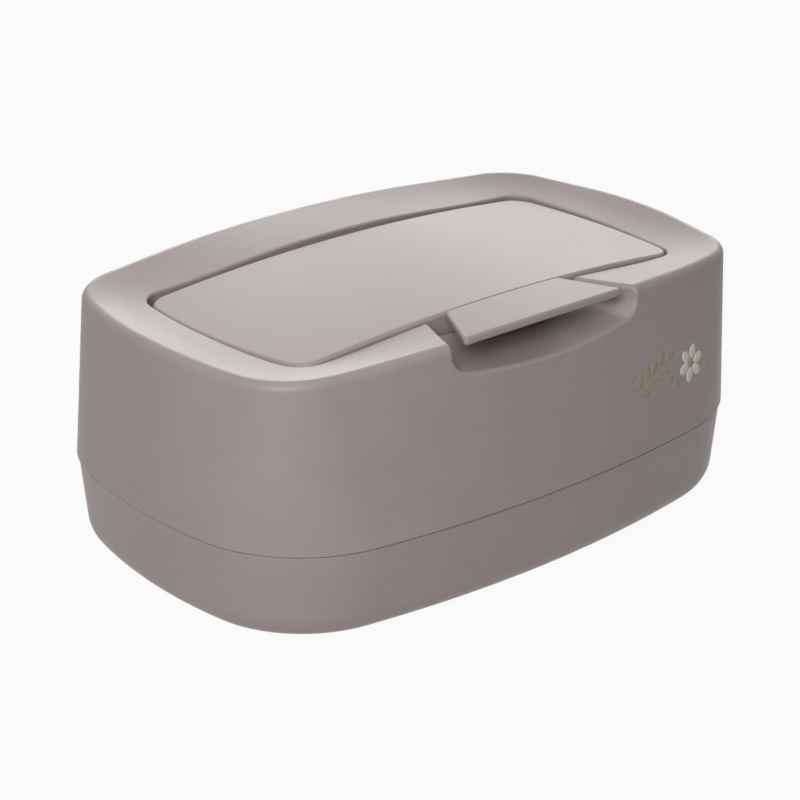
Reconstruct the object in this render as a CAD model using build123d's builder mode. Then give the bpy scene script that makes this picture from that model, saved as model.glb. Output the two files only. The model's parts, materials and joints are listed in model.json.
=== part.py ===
from build123d import *
import math
import os

os.makedirs("parts", exist_ok=True)

# Millimetres, +Z up, front at -Y, origin on the floor under the middle of the box

# Outline at the parting line, where the cover meets the tray
box_length = 240.0
box_depth = 163.3
end_bow = 12.2
side_bow = 13.2
corner_radius = 50.0
parting_height = 35.0

# Outline at the rim, which leans in from the parting line
end_draft = 6.0
front_draft = 7.0
rear_draft = 11.6
rim_height = 97.2
rim_end_bow = 11.0
rim_side_bow = 11.9
rim_corner_radius = 24.0
rim_edge_round = 3.0
rim_crown = 1.6
rim_squareness = 4.5
trim_allowance = 3.0

# Recess that the lid lies in
rim_end_width = 22.4
rim_front_width = 24.6
rim_rear_width = 30.0
recess_end_bow = 4.0
recess_side_bow = 0.4
recess_corner_radius = 9.5
recess_lean = 8.0
recess_dish = 0.3
recess_crown = 5.2
recess_edge_round = 0.8

# Cover walls
wall = 2.2
deck_depth = 16.7
deck_wall = 2.0
recess_wall = 2.0
cover_rib_wall = 1.6
cover_rib_depth = 5.0
cover_rib_spread = 62.0

# Tray
tray_wall = 2.4
tray_lean = 2.8
tray_step = 0.6
tray_floor = 2.4
bottom_round = 10.5
seam_gap = 0.5
seam_round = 0.6
tongue_wall = 1.6
tongue_rise = 6.0
tongue_root = 9.0
fit_gap = 0.3
floor_rib_wall = 1.6
floor_rib_height = 2.0
floor_rib_pitch = 32.0

# Rubber feet
foot_radius = 8.0
foot_height = 3.0
foot_drop = 1.0
foot_inset_x = 40.0
foot_inset_y = 38.0
foot_round = 0.6
foot_fit = 0.05
foot_socket_wall = 2.0

# Mouth that the wipes come through
mouth_length = 134.0
mouth_front_margin = 11.0
mouth_rear_margin = 20.0
mouth_corner = 20.0
lip_wall = 2.0
lip_height = 5.0

# Lid
lid_gap = 0.7
lid_rear_gap = 2.9
lid_wall = 2.2
lid_proud = 0.4
lid_fall = 1.6
lid_crown = 5.2
lid_skirt_depth = 10.2
lid_edge_round = 1.3
lid_corner_radius = 8.8

# Seal and its channel under the lid
seal_width = 3.0
seal_height = 4.6
seal_gap = 0.1
seal_show = 1.6
channel_wall = 1.4
channel_fit = 0.1
seal_web_wall = 1.2
seal_web_pitch = 16.0

# Hinge at the rear of the lid
hinge_setback = 9.1
hinge_sink = 9.0
hinge_spread = 40.0
hinge_pin_radius = 1.5
pin_fit = 0.05
ear_width = 6.0
bracket_width = 4.0
knuckle_radius = 2.9
hinge_side_gap = 0.4
ear_foot_half = 4.0
bracket_foot_front = 5.0
bracket_foot_rear = 2.2
skirt_notch_gap = 1.0
pin_bevel = 0.2

# Torsion springs on the hinge pins
lid_spring_wire = 0.9
lid_spring_radius = 2.6
lid_spring_turns = 4.5
lid_spring_pitch = 1.4
lid_spring_side_gap = 1.0
lid_spring_leg = 6.0
spring_rest_length = 4.0
spring_rest_setback = 3.0

# Cut in the rim and finger pocket in front of the lid
cut_half_width = 32.6
cut_flare = 9.5
ledge_depth = 7.7
pocket_depth = 13.2
pocket_rise = 2.9
pocket_corner = 8.0
pocket_wall = 2.0
pocket_reach = 6.0
pocket_slope = 1.8
pocket_turn = 0.45
pocket_turn_rise = 1.2
pocket_turn_corner = 5.6
pocket_fall = 0.6
pocket_lip_round = 1.5
ledge_rise = 0.6
ledge_corner = 3.0

# Press tab
tab_rear_half_width = 25.7
tab_front_half_width = 36.5
tab_gap = 1.0
tab_setback = 1.2
tab_bow = 1.3
tab_thickness = 3.0
tab_rise = 1.0
tab_crown = 0.8
tab_corner = 1.3
tab_edge_round = 1.0
web_half_width = 13.0
web_wall = 3.0
web_setback = 3.0
web_overlap = 1.0
press_angle = 7.0
pivot_sink = 22.2
button_knuckle_radius = 3.4
button_pin_radius = 1.5
button_fit = 0.05
hook_half_width = 8.0
hook_sink = 11.2
hook_overlap = 1.0
hook_gap = 0.3
hook_tip = 0.8
hook_reach_gap = 0.5
slot_clearance = 0.8
hook_rise = 4.0
cheek_wall = 3.0
cheek_foot_front = 5.0
cheek_foot_rear = 3.5
gusset_wall = 1.6
gusset_reach = 10.0
gusset_drop = 6.0
gusset_spread = 9.0

# Catch under the lid's front edge
catch_half_width = 7.0
catch_drop = 3.0
catch_root_inset = 0.3
catch_face_inset = 0.1

# Return spring of the press tab
button_spring_wire = 0.7
button_spring_radius = 2.4
button_spring_turns = 4
button_spring_length = 7.0
tail_reach = 10.5
tail_half_width = 4.0
tail_wall = 2.0
spring_peg_radius = 1.5
spring_peg_height = 1.6

# Weight plate that lies on the wipes
plate_gap = 1.0
plate_wall = 2.4
plate_rim_wall = 1.6
plate_rim_height = 4.5
plate_slot_length = 92.0
plate_slot_width = 15.0
plate_slot_lip = 1.6
plate_slot_rise = 2.5
bar_length = 62.0
bar_width = 13.0
bar_height = 5.0
bar_inset = 50.0
bar_fit = 0.05
bar_bevel = 0.8
bar_nest_wall = 1.4
bar_nest_height = 3.0

# Places that follow from these sizes

half_length = box_length / 2
half_depth = box_depth / 2
wall_top = rim_height + trim_allowance
rim_length = box_length - 2 * end_draft
rim_front = -half_depth + front_draft
rim_rear = half_depth - rear_draft
rim_depth = rim_rear - rim_front
rim_middle = (rim_front + rim_rear) / 2
recess_length = rim_length - 2 * rim_end_width
recess_front = rim_front + rim_front_width
recess_rear = rim_rear - rim_rear_width
recess_depth = recess_rear - recess_front
recess_middle = (recess_front + recess_rear) / 2
deck_height = rim_height - deck_depth
deck_under = deck_height - deck_wall
lip_top = deck_height + lip_height
mouth_front = recess_front + mouth_front_margin
mouth_rear = recess_rear - mouth_rear_margin
mouth_depth = mouth_rear - mouth_front
mouth_middle = (mouth_front + mouth_rear) / 2

tray_top = parting_height - seam_gap
tongue_inset = wall + fit_gap
tongue_top = parting_height + tongue_rise
floor_top = foot_drop + tray_floor
plate_bottom = floor_top + floor_rib_height

lid_front = recess_front + lid_gap
lid_rear = recess_rear - lid_rear_gap
lid_length = recess_length - 2 * lid_gap
lid_depth = lid_rear - lid_front
lid_middle = (lid_front + lid_rear) / 2
lid_level = rim_height - recess_dish + lid_proud - lid_fall / 2
lid_skirt_bottom = rim_height - lid_skirt_depth
hinge_y = recess_rear - hinge_setback
hinge_z = rim_height - hinge_sink
bracket_inner = hinge_spread - ear_width / 2 - hinge_side_gap
lid_spring_start = hinge_spread + ear_width / 2 + lid_spring_side_gap + lid_spring_wire / 2
lid_spring_end = lid_spring_start + lid_spring_turns * lid_spring_pitch
bracket_outer = lid_spring_end + lid_spring_wire / 2 + hinge_side_gap

ledge_height = rim_height - ledge_depth
pocket_floor = rim_height - pocket_depth
pocket_back = -recess_front - recess_edge_round / 2
pocket_front = -rim_front + pocket_reach
cut_slope = cut_flare / rim_front_width
tab_top = rim_height + tab_rise
tab_bottom = tab_top - tab_thickness
tab_rear = lid_front - tab_gap
tab_front = rim_front + tab_setback
button_z = rim_height - pivot_sink
web_rear = recess_front - web_setback
web_front = web_rear - web_wall
button_y = (web_front + web_rear) / 2
hook_bottom = rim_height - hook_sink
hook_end = lid_front - hook_reach_gap
catch_top = hook_bottom - hook_gap
catch_end = hook_end - hook_overlap
notch_bottom = catch_top - catch_drop - hook_reach_gap
notch_half_width = hook_half_width + 2 * slot_clearance
slot_swing = (ledge_height - button_z) * math.sin(math.radians(press_angle))
slot_front = web_front - slot_swing - slot_clearance
slot_rear = web_rear + slot_clearance
cheek_inner = web_half_width + hinge_side_gap
cheek_outer = cheek_inner + cheek_wall
spring_top = deck_under
spring_bottom = spring_top - button_spring_length
spring_y = button_y + tail_reach
tail_top = spring_bottom - button_fit

seal_bottom = lip_top + seal_gap
seal_top = seal_bottom + seal_height
channel_bottom = seal_bottom + seal_show
seal_outer = (lip_wall + seal_width) / 2
seal_inner = (lip_wall - seal_width) / 2
groove_outer = seal_outer + channel_fit
groove_inner = seal_inner - channel_fit

foot_x = half_length - foot_inset_x
foot_y = half_depth - foot_inset_y
plate_inset = tray_step + tray_lean + tray_wall + bottom_round - tray_floor + plate_gap
plate_top = plate_bottom + plate_wall
bar_x = half_length - bar_inset


def plan_corner(side_radius, side_sink, end_radius, end_sink, lean):
    """Where a side's bow, centred at (0, -side_sink), meets an end's, centred at (-end_sink, lean)."""
    run = side_sink + lean
    spacing = math.hypot(end_sink, run)
    along = (side_radius**2 - end_radius**2 + spacing**2) / (2 * spacing)
    beside = math.sqrt(side_radius**2 - along**2)
    corner_x = (beside * run - along * end_sink) / spacing
    corner_y = (beside * end_sink + along * run) / spacing - side_sink
    return corner_x, corner_y


def plan(size_x, size_y, bow_x, bow_y, corner, height, middle=0.0, grow=0.0, lean=0.0):
    """Four bowed sides with rounded corners, seen from above, or an outline `grow` outside it.

    The ends bow out most at `lean` behind the middle, so with a lean the outline widens to the rear.
    """
    side_radius = ((size_x / 2 - bow_x) ** 2 + bow_y**2) / (2 * bow_y) + grow
    end_radius = ((size_y / 2 - bow_y) ** 2 + bow_x**2) / (2 * bow_x) + grow
    reach_x = size_x / 2 + grow
    reach_y = size_y / 2 + grow
    side_sink = side_radius - reach_y
    end_sink = end_radius - reach_x
    front_x, front_y = plan_corner(side_radius, side_sink, end_radius, end_sink, -lean)
    rear_x, rear_y = plan_corner(side_radius, side_sink, end_radius, end_sink, lean)
    with BuildSketch(Plane((0, middle, height))) as area:
        with BuildLine():
            ThreePointArc((-front_x, -front_y), (0, -reach_y), (front_x, -front_y))
            ThreePointArc((front_x, -front_y), (reach_x, lean), (rear_x, rear_y))
            ThreePointArc((rear_x, rear_y), (0, reach_y), (-rear_x, rear_y))
            ThreePointArc((-rear_x, rear_y), (-reach_x, lean), (-front_x, -front_y))
        make_face()
        fillet(area.vertices(), corner + grow)
    return area.sketch


def box_plan(height, grow=0.0):
    """The box's outline at the parting line, or one that lies `grow` outside it."""
    return plan(box_length, box_depth, end_bow, side_bow, corner_radius, height, 0.0, grow)


def rim_plan(height, grow=0.0):
    """The cover's outline at the rim, or one that lies `grow` outside it."""
    return plan(
        rim_length, rim_depth, rim_end_bow, rim_side_bow, rim_corner_radius, height, rim_middle, grow
    )


def recess_plan(height, grow=0.0):
    """The outline of the recess for the lid, or one that lies `grow` outside it."""
    return plan(
        recess_length, recess_depth, recess_end_bow, recess_side_bow,
        recess_corner_radius, height, recess_middle, grow, recess_lean,
    )


def lid_plan(height, grow=0.0):
    """The lid's outline, or one that lies `grow` outside it."""
    return plan(
        lid_length, lid_depth, recess_end_bow, recess_side_bow,
        lid_corner_radius, height, lid_middle, grow, recess_lean,
    )


def mouth_plan(height, grow=0.0):
    """The mouth's outline, or one that lies `grow` outside it."""
    with BuildSketch(Plane((0, mouth_middle, height))) as area:
        RectangleRounded(mouth_length + 2 * grow, mouth_depth + 2 * grow, mouth_corner + grow)
    return area.sketch


def cover_form(grow):
    """The cover's leaning walls as a solid, or one that lies `grow` outside it."""
    return loft(
        [box_plan(parting_height, grow), rim_plan(wall_top, grow)], ruled=True, mode=Mode.PRIVATE
    )


def rim_level(x, y):
    """Height of the dished rim: crowned along X, falling from its outer edge to the recess."""
    outer = rim_height - rim_crown * (2 * x / rim_length) ** 2
    inner = rim_height - recess_dish - recess_crown * (2 * x / recess_length) ** 2
    reach_x = abs(2 * x / rim_length) ** rim_squareness
    reach_y = abs(2 * (y - rim_middle) / rim_depth) ** rim_squareness
    reach = (reach_x + reach_y) ** (1 / rim_squareness)
    recess_reach = recess_length / rim_length
    return outer + (inner - outer) * (1 - reach**2) / (1 - recess_reach**2)


def above_rim(lower):
    """The space above the rim's surface, with that surface moved down by `lower`."""
    count_x = 24
    count_y = 18
    reach_x = half_length + trim_allowance
    reach_y = half_depth + trim_allowance
    grid = [
        [
            Vector(x, y, rim_level(x, y) - lower)
            for y in [reach_y * (2 * j / count_y - 1) for j in range(count_y + 1)]
        ]
        for x in [reach_x * (2 * i / count_x - 1) for i in range(count_x + 1)]
    ]
    surface = Face.make_surface_from_array_of_points(grid, tol=0.01, min_deg=3, max_deg=3)
    return extrude(surface, amount=rim_height, dir=(0, 0, 1), mode=Mode.PRIVATE)


def above_lid(lower):
    """The space above the lid's crowned, sloping top, with that top moved down by `lower`."""
    slope = math.atan2(lid_fall, lid_depth)
    section = Plane(
        origin=(0, lid_middle, lid_level),
        x_dir=(1, 0, 0),
        z_dir=(0, -math.cos(slope), math.sin(slope)),
    )
    half = recess_length / 2
    drop = lower + lid_crown * (2 * half / lid_length) ** 2
    with BuildSketch(section) as arch:
        with BuildLine():
            ThreePointArc((-half, -drop), (0, -lower), (half, -drop))
            Polyline((half, -drop), (half, rim_height), (-half, rim_height), (-half, -drop))
        make_face()
    return extrude(arch.sketch, amount=lid_depth, both=True, mode=Mode.PRIVATE)


def disc(y, z, radius):
    """A circle drawn in the YZ plane, for pins, eyes and their bores."""
    with BuildSketch(Plane.YZ) as area:
        with Locations((y, z)):
            Circle(radius)
    return area.sketch


def side_profile(*points):
    """A closed outline of (y, z) points drawn in the YZ plane."""
    with BuildSketch(Plane.YZ) as area:
        with BuildLine():
            Polyline(*points, close=True)
        make_face()
    return area.sketch


def eye_profile(y, z, radius, foot_front, foot_rear, foot_z):
    """A round eye at (y, z) on an arm whose foot reaches `foot_front` and `foot_rear` from it."""
    with BuildSketch(Plane.YZ) as area:
        with BuildLine():
            Polyline(
                (y - radius, z), (y + radius, z), (y + foot_rear, foot_z), (y - foot_front, foot_z),
                close=True,
            )
        make_face()
        with Locations((y, z)):
            Circle(radius)
    return area.sketch


def across(profile, start, end, mode=Mode.ADD):
    """A profile drawn in the YZ plane, extruded from x = start to x = end."""
    placed = profile.moved(Location((start, 0, 0)))
    return extrude(placed, amount=end - start, dir=(1, 0, 0), mode=mode)


def pocket_section(reach, half_width, floor, rise, corner, grow):
    """The finger pocket's section at y = -reach, open at its top."""
    top = wall_top + trim_allowance
    spread = half_width + pocket_slope
    with BuildSketch(Plane.XZ.offset(reach)) as section:
        with BuildLine():
            ThreePointArc((-half_width, floor + rise), (0, floor), (half_width, floor + rise))
            Polyline((half_width, floor + rise), (spread, top), (-spread, top), (-half_width, floor + rise))
        make_face()
        fillet(section.vertices().group_by(Axis.Z)[0], corner)
        if grow:
            offset(amount=grow, kind=Kind.INTERSECTION)
    return section.sketch


def pocket_space(grow):
    """The finger pocket: shallow at the lid, deep and flared at the front wall."""
    middle = pocket_back + pocket_turn * (pocket_front - pocket_back)
    middle_width = cut_half_width + cut_slope * (middle - pocket_back)
    front_width = cut_half_width + cut_slope * (pocket_front - pocket_back)
    sections = [
        pocket_section(pocket_back, cut_half_width, ledge_height, ledge_rise, ledge_corner, grow),
        pocket_section(
            middle, middle_width, pocket_floor + pocket_turn_rise, pocket_rise, pocket_turn_corner, grow
        ),
        pocket_section(
            pocket_front, front_width, pocket_floor - pocket_fall, pocket_rise, pocket_corner, grow
        ),
    ]
    return loft(sections, mode=Mode.PRIVATE)


# Housing cover

eye_foot = deck_height - deck_wall / 2
hinge_bracket = eye_profile(
    hinge_y, hinge_z, knuckle_radius, bracket_foot_front, bracket_foot_rear, eye_foot
)
hinge_bore = disc(hinge_y, hinge_z, hinge_pin_radius + pin_fit)
button_cheek = eye_profile(
    button_y, button_z, button_knuckle_radius, cheek_foot_front, cheek_foot_rear, ledge_height
)
button_bore = disc(button_y, button_z, button_pin_radius + pin_fit)
web_slot = side_profile(
    (slot_front, deck_under), (slot_rear, deck_under), (slot_rear, rim_height), (slot_front, rim_height)
)
hook_notch = side_profile(
    (slot_rear, notch_bottom), (lid_front, notch_bottom), (lid_front, rim_height), (slot_rear, rim_height)
)
spring_rest_top = hinge_z - lid_spring_radius - lid_spring_wire / 2
spring_rest = side_profile(
    (hinge_y - spring_rest_setback, eye_foot),
    (hinge_y - spring_rest_setback, spring_rest_top),
    (hinge_y - spring_rest_setback - spring_rest_length, spring_rest_top),
    (hinge_y - spring_rest_setback - spring_rest_length, eye_foot),
)

with BuildPart() as cover_ribs:
    with BuildSketch(Plane.XY.offset(tongue_top)):
        with GridLocations(2 * cover_rib_spread, 1, 2, 1):
            Rectangle(cover_rib_wall, box_depth)
        with Locations((0, recess_middle)):
            Rectangle(box_length, cover_rib_wall)
    extrude(amount=rim_height)
    add(cover_form(-wall - cover_rib_depth), mode=Mode.SUBTRACT)

with BuildPart() as cover_hollow:
    add(cover_form(-wall))
    add(above_rim(wall), mode=Mode.SUBTRACT)
    extrude(recess_plan(deck_under, recess_wall), amount=rim_height, mode=Mode.SUBTRACT)
    add(pocket_space(pocket_wall), mode=Mode.SUBTRACT)
    add(cover_ribs.part, mode=Mode.SUBTRACT)

with BuildPart() as button_cheeks:
    for side in (-1, 1):
        across(button_cheek, side * cheek_inner, side * cheek_outer)
    add(pocket_space(0), mode=Mode.SUBTRACT)

with BuildPart() as housing_cover:
    add(cover_form(0))
    add(above_rim(0), mode=Mode.SUBTRACT)
    fillet(housing_cover.faces().sort_by(Axis.Z)[-1].edges(), rim_edge_round)
    # The rounding of the pocket's mouth runs on along the rim, so it comes before the recess
    add(pocket_space(0), mode=Mode.SUBTRACT)
    front_wall = housing_cover.faces().sort_by(Axis.Y)[0]
    fillet(front_wall.edges() & housing_cover.edges(Select.LAST), pocket_lip_round)
    extrude(recess_plan(deck_height), amount=rim_height, mode=Mode.SUBTRACT)
    rim_face = housing_cover.faces().sort_by_distance((0, recess_rear + rim_rear_width / 2, rim_height))[0]
    fillet(rim_face.edges() & housing_cover.edges(Select.LAST), recess_edge_round)
    add(cover_hollow.part, mode=Mode.SUBTRACT)
    add(button_cheeks.part)
    across(web_slot, -cheek_inner, cheek_inner, mode=Mode.SUBTRACT)
    across(hook_notch, -notch_half_width, notch_half_width, mode=Mode.SUBTRACT)
    extrude(mouth_plan(deck_under, lip_wall), amount=deck_wall + lip_height)
    extrude(mouth_plan(deck_under), amount=deck_wall + lip_height, mode=Mode.SUBTRACT)
    for side in (-1, 1):
        across(hinge_bracket, side * (bracket_inner - bracket_width), side * bracket_inner)
        across(hinge_bracket, side * bracket_outer, side * (bracket_outer + bracket_width))
        across(spring_rest, side * (lid_spring_end - lid_spring_wire), side * bracket_outer)
    across(hinge_bore, -bracket_outer - bracket_width, bracket_outer + bracket_width, mode=Mode.SUBTRACT)
    across(button_bore, -cheek_outer, cheek_outer, mode=Mode.SUBTRACT)
    with BuildSketch(Plane.XY.offset(deck_under)):
        with Locations((0, spring_y)):
            Circle(spring_peg_radius)
    extrude(amount=-spring_peg_height)
housing_cover.part.label = "housing_cover"
export_step(housing_cover.part, "parts/housing_cover.step")

# Tray

with BuildPart() as tray_space:
    loft(
        [
            box_plan(foot_drop, -tray_lean - tray_step - tray_wall),
            box_plan(tray_top, -tray_step - tray_wall),
        ],
        ruled=True,
    )
    split(bisect_by=Plane.XY.offset(floor_top), keep=Keep.TOP)
    fillet(tray_space.faces().sort_by(Axis.Z)[0].edges(), bottom_round - tray_floor)
    with BuildSketch(Plane.XY.offset(floor_top)):
        with GridLocations(floor_rib_pitch, 1, int(box_length / floor_rib_pitch), 1):
            Rectangle(floor_rib_wall, box_depth)
        with GridLocations(1, floor_rib_pitch, 1, int(box_depth / floor_rib_pitch)):
            Rectangle(box_length, floor_rib_wall)
    extrude(amount=floor_rib_height, mode=Mode.SUBTRACT)
    with BuildSketch(Plane.XY.offset(floor_top)):
        with GridLocations(2 * foot_x, 2 * foot_y, 2, 2):
            Circle(foot_radius + foot_fit + foot_socket_wall)
    extrude(amount=foot_height + foot_socket_wall - floor_top, mode=Mode.SUBTRACT)

with BuildPart() as tongue:
    add(cover_form(-tongue_inset))
    split(bisect_by=Plane.XY.offset(tongue_top), keep=Keep.BOTTOM)
    extrude(box_plan(parting_height, -tongue_inset), amount=-tongue_root)
    add(cover_form(-tongue_inset - tongue_wall), mode=Mode.SUBTRACT)
    extrude(
        box_plan(parting_height, -tongue_inset - tongue_wall), amount=-tongue_root, mode=Mode.SUBTRACT
    )

with BuildPart() as base_tray:
    loft(
        [box_plan(foot_drop, -tray_lean - tray_step), box_plan(tray_top, -tray_step)], ruled=True
    )
    fillet(base_tray.faces().sort_by(Axis.Z)[0].edges(), bottom_round)
    fillet(base_tray.faces().sort_by(Axis.Z)[-1].edges(), seam_round)
    add(tray_space.part, mode=Mode.SUBTRACT)
    add(tongue.part)
    with BuildSketch(Plane.XY.offset(foot_drop)):
        with GridLocations(2 * foot_x, 2 * foot_y, 2, 2):
            Circle(foot_radius + foot_fit)
    extrude(amount=foot_height - foot_drop, mode=Mode.SUBTRACT)
base_tray.part.label = "base_tray"
export_step(base_tray.part, "parts/base_tray.step")

# Rubber feet

for column, side_name in ((-1, "left"), (1, "right")):
    for row, row_name in ((-1, "front"), (1, "rear")):
        name = "foot_" + row_name + "_" + side_name
        with BuildPart() as foot:
            with BuildSketch():
                with Locations((column * foot_x, row * foot_y)):
                    Circle(foot_radius)
            extrude(amount=foot_height)
            fillet(foot.faces().sort_by(Axis.Z)[0].edges(), foot_round)
        foot.part.label = name
        export_step(foot.part, "parts/" + name + ".step")

# Lid

lid_core = above_lid(lid_wall / 2)
lid_ear = eye_profile(hinge_y, hinge_z, knuckle_radius, ear_foot_half, ear_foot_half, lid_level)
lid_catch = side_profile(
    (lid_front + lid_wall - catch_root_inset, lid_skirt_bottom + catch_drop),
    (lid_front + catch_root_inset, lid_skirt_bottom + catch_drop),
    (lid_front + catch_face_inset, catch_top),
    (catch_end, catch_top),
    (catch_end, catch_top - hook_tip),
    (lid_front + catch_face_inset, catch_top - catch_drop),
    (lid_front + lid_wall - catch_root_inset, catch_top - catch_drop),
)

with BuildPart() as seal_groove:
    extrude(mouth_plan(channel_bottom, groove_outer), amount=rim_height - channel_bottom)
    extrude(
        mouth_plan(channel_bottom, groove_inner),
        amount=rim_height - channel_bottom, mode=Mode.SUBTRACT,
    )
    with BuildSketch(Plane((0, mouth_middle, seal_top))):
        with GridLocations(seal_web_pitch, 1, int(mouth_length / seal_web_pitch), 1):
            Rectangle(seal_web_wall, recess_depth)
        with GridLocations(1, seal_web_pitch, 1, int(mouth_depth / seal_web_pitch)):
            Rectangle(recess_length, seal_web_wall)
    extrude(amount=rim_height - seal_top, mode=Mode.SUBTRACT)
    add(above_lid(lid_wall), mode=Mode.SUBTRACT)

with BuildPart() as lid_inner:
    extrude(mouth_plan(channel_bottom, groove_outer + channel_wall), amount=rim_height - channel_bottom)
    extrude(
        mouth_plan(channel_bottom, groove_inner - channel_wall),
        amount=rim_height - channel_bottom, mode=Mode.SUBTRACT,
    )
    add(seal_groove.part, mode=Mode.SUBTRACT)
    for side in (-1, 1):
        across(lid_ear, side * (hinge_spread - ear_width / 2), side * (hinge_spread + ear_width / 2))
    add(lid_core, mode=Mode.SUBTRACT)

notch_start = bracket_inner - bracket_width - skirt_notch_gap
notch_end = bracket_outer + bracket_width + skirt_notch_gap
notch_middle = (notch_start + notch_end) / 2
notch_width = notch_end - notch_start

with BuildPart() as lid_space:
    extrude(lid_plan(lid_skirt_bottom, -lid_wall), amount=rim_height)
    add(above_lid(lid_wall), mode=Mode.SUBTRACT)

with BuildPart() as skirt_notches:
    with BuildSketch(Plane.XY.offset(lid_skirt_bottom)):
        for side in (-1, 1):
            with Locations((side * notch_middle, lid_rear)):
                Rectangle(notch_width, 2 * (lid_wall + lid_edge_round))
    extrude(amount=rim_height)
    add(above_lid(lid_wall), mode=Mode.SUBTRACT)

with BuildPart() as lid:
    extrude(lid_plan(lid_skirt_bottom), amount=rim_height)
    add(above_lid(0), mode=Mode.SUBTRACT)
    top_edges = lid.edges().filter_by(Axis.Z, reverse=True) - lid.faces().sort_by(Axis.Z)[0].edges()
    fillet(top_edges, lid_edge_round)
    add(lid_space.part, mode=Mode.SUBTRACT)
    add(skirt_notches.part, mode=Mode.SUBTRACT)
    add(lid_inner.part)
    across(hinge_bore, -lid_spring_start, lid_spring_start, mode=Mode.SUBTRACT)
    across(lid_catch, -catch_half_width, catch_half_width)
lid.part.label = "lid"
export_step(lid.part, "parts/lid.step")

# Seal

with BuildPart() as lid_seal:
    extrude(mouth_plan(seal_bottom, seal_outer), amount=seal_height)
    extrude(mouth_plan(seal_bottom, seal_inner), amount=seal_height, mode=Mode.SUBTRACT)
lid_seal.part.label = "lid_seal"
export_step(lid_seal.part, "parts/lid_seal.step")

# Hinge pins

for side, side_name in ((-1, "left"), (1, "right")):
    name = "hinge_pin_" + side_name
    with BuildPart() as hinge_pin:
        across(
            disc(hinge_y, hinge_z, hinge_pin_radius),
            side * (bracket_inner - bracket_width), side * (bracket_outer + bracket_width),
        )
        chamfer(hinge_pin.faces().filter_by(Axis.X).edges(), pin_bevel)
    hinge_pin.part.label = name
    export_step(hinge_pin.part, "parts/" + name + ".step")


# Springs

def coil_point(frame, radius, pitch, turns):
    """A point on a helix about the frame's Z axis, which starts on its X axis."""
    angle = 2 * math.pi * turns
    across_x = frame.x_dir * (radius * math.cos(angle))
    across_y = frame.y_dir * (radius * math.sin(angle))
    return frame.origin + across_x + across_y + frame.z_dir * (pitch * turns)


def coil_heading(frame, radius, pitch, turns):
    """The direction of that helix at the same point."""
    angle = 2 * math.pi * turns
    turning = frame.y_dir * math.cos(angle) - frame.x_dir * math.sin(angle)
    return (turning * (2 * math.pi * radius) + frame.z_dir * pitch).normalized()


def coil_path(frame, radius, pitch, turns, leg):
    """A coil's centre line: quarter turns as pairs of arcs, with a straight leg at each end."""
    start = coil_point(frame, radius, pitch, 0)
    heading = coil_heading(frame, radius, pitch, 0)
    with BuildLine() as path:
        if leg:
            Line(start - heading * leg, start)
        for quarter in range(1, int(4 * turns) + 1):
            end = coil_point(frame, radius, pitch, quarter / 4)
            end_heading = coil_heading(frame, radius, pitch, quarter / 4)
            chord = end - start
            along = chord.dot(heading + end_heading)
            bend = 2 - 2 * heading.dot(end_heading)
            reach = (math.sqrt(along**2 + bend * chord.dot(chord)) - along) / bend
            near = start + heading * reach
            far = end - end_heading * reach
            middle = (near + far) * 0.5
            TangentArc(start, middle, tangent=heading)
            TangentArc(middle, end, tangent=far - near)
            start = end
            heading = end_heading
        if leg:
            Line(start, start + heading * leg)
    return path.wire()


def coil_solid(path, wire):
    """A round wire swept along a coil's centre line."""
    with BuildPart() as body:
        with BuildSketch(Plane(origin=path @ 0, z_dir=path % 0)):
            Circle(wire / 2)
        sweep(path=path)
    return body.part


def least_gap(path, wire, apart):
    """The smallest space between stretches of a coil that lie more than `apart` along it."""
    steps = 240
    points = [path.position_at(i / steps) for i in range(steps + 1)]
    skip = math.ceil(apart * steps / path.length)
    spaces = [
        (points[i] - points[j]).length for i in range(steps) for j in range(i + skip, steps + 1)
    ]
    return min(spaces) - wire


for side, side_name in ((-1, "left"), (1, "right")):
    name = "lid_spring_" + side_name
    spring_frame = Plane(
        origin=(side * lid_spring_start, hinge_y, hinge_z), x_dir=(0, 0, 1), z_dir=(-1, 0, 0)
    )
    spring_line = coil_path(
        spring_frame, lid_spring_radius, -side * lid_spring_pitch, lid_spring_turns, lid_spring_leg
    )
    lid_spring = coil_solid(spring_line, lid_spring_wire)
    lid_spring.label = name
    export_step(lid_spring, "parts/" + name + ".step")
    print(name, "least gap", round(least_gap(spring_line, lid_spring_wire, math.pi * lid_spring_radius), 2))

button_spring_pitch = (button_spring_length - button_spring_wire) / button_spring_turns
button_frame = Plane(origin=(0, spring_y, spring_bottom + button_spring_wire / 2))
button_line = coil_path(
    button_frame, button_spring_radius, button_spring_pitch, button_spring_turns, 0
)
button_spring = coil_solid(button_line, button_spring_wire)
button_spring.label = "button_spring"
export_step(button_spring, "parts/button_spring.step")
button_gap = least_gap(button_line, button_spring_wire, math.pi * button_spring_radius)
print("button_spring least gap", round(button_gap, 2))

# Press tab

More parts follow.
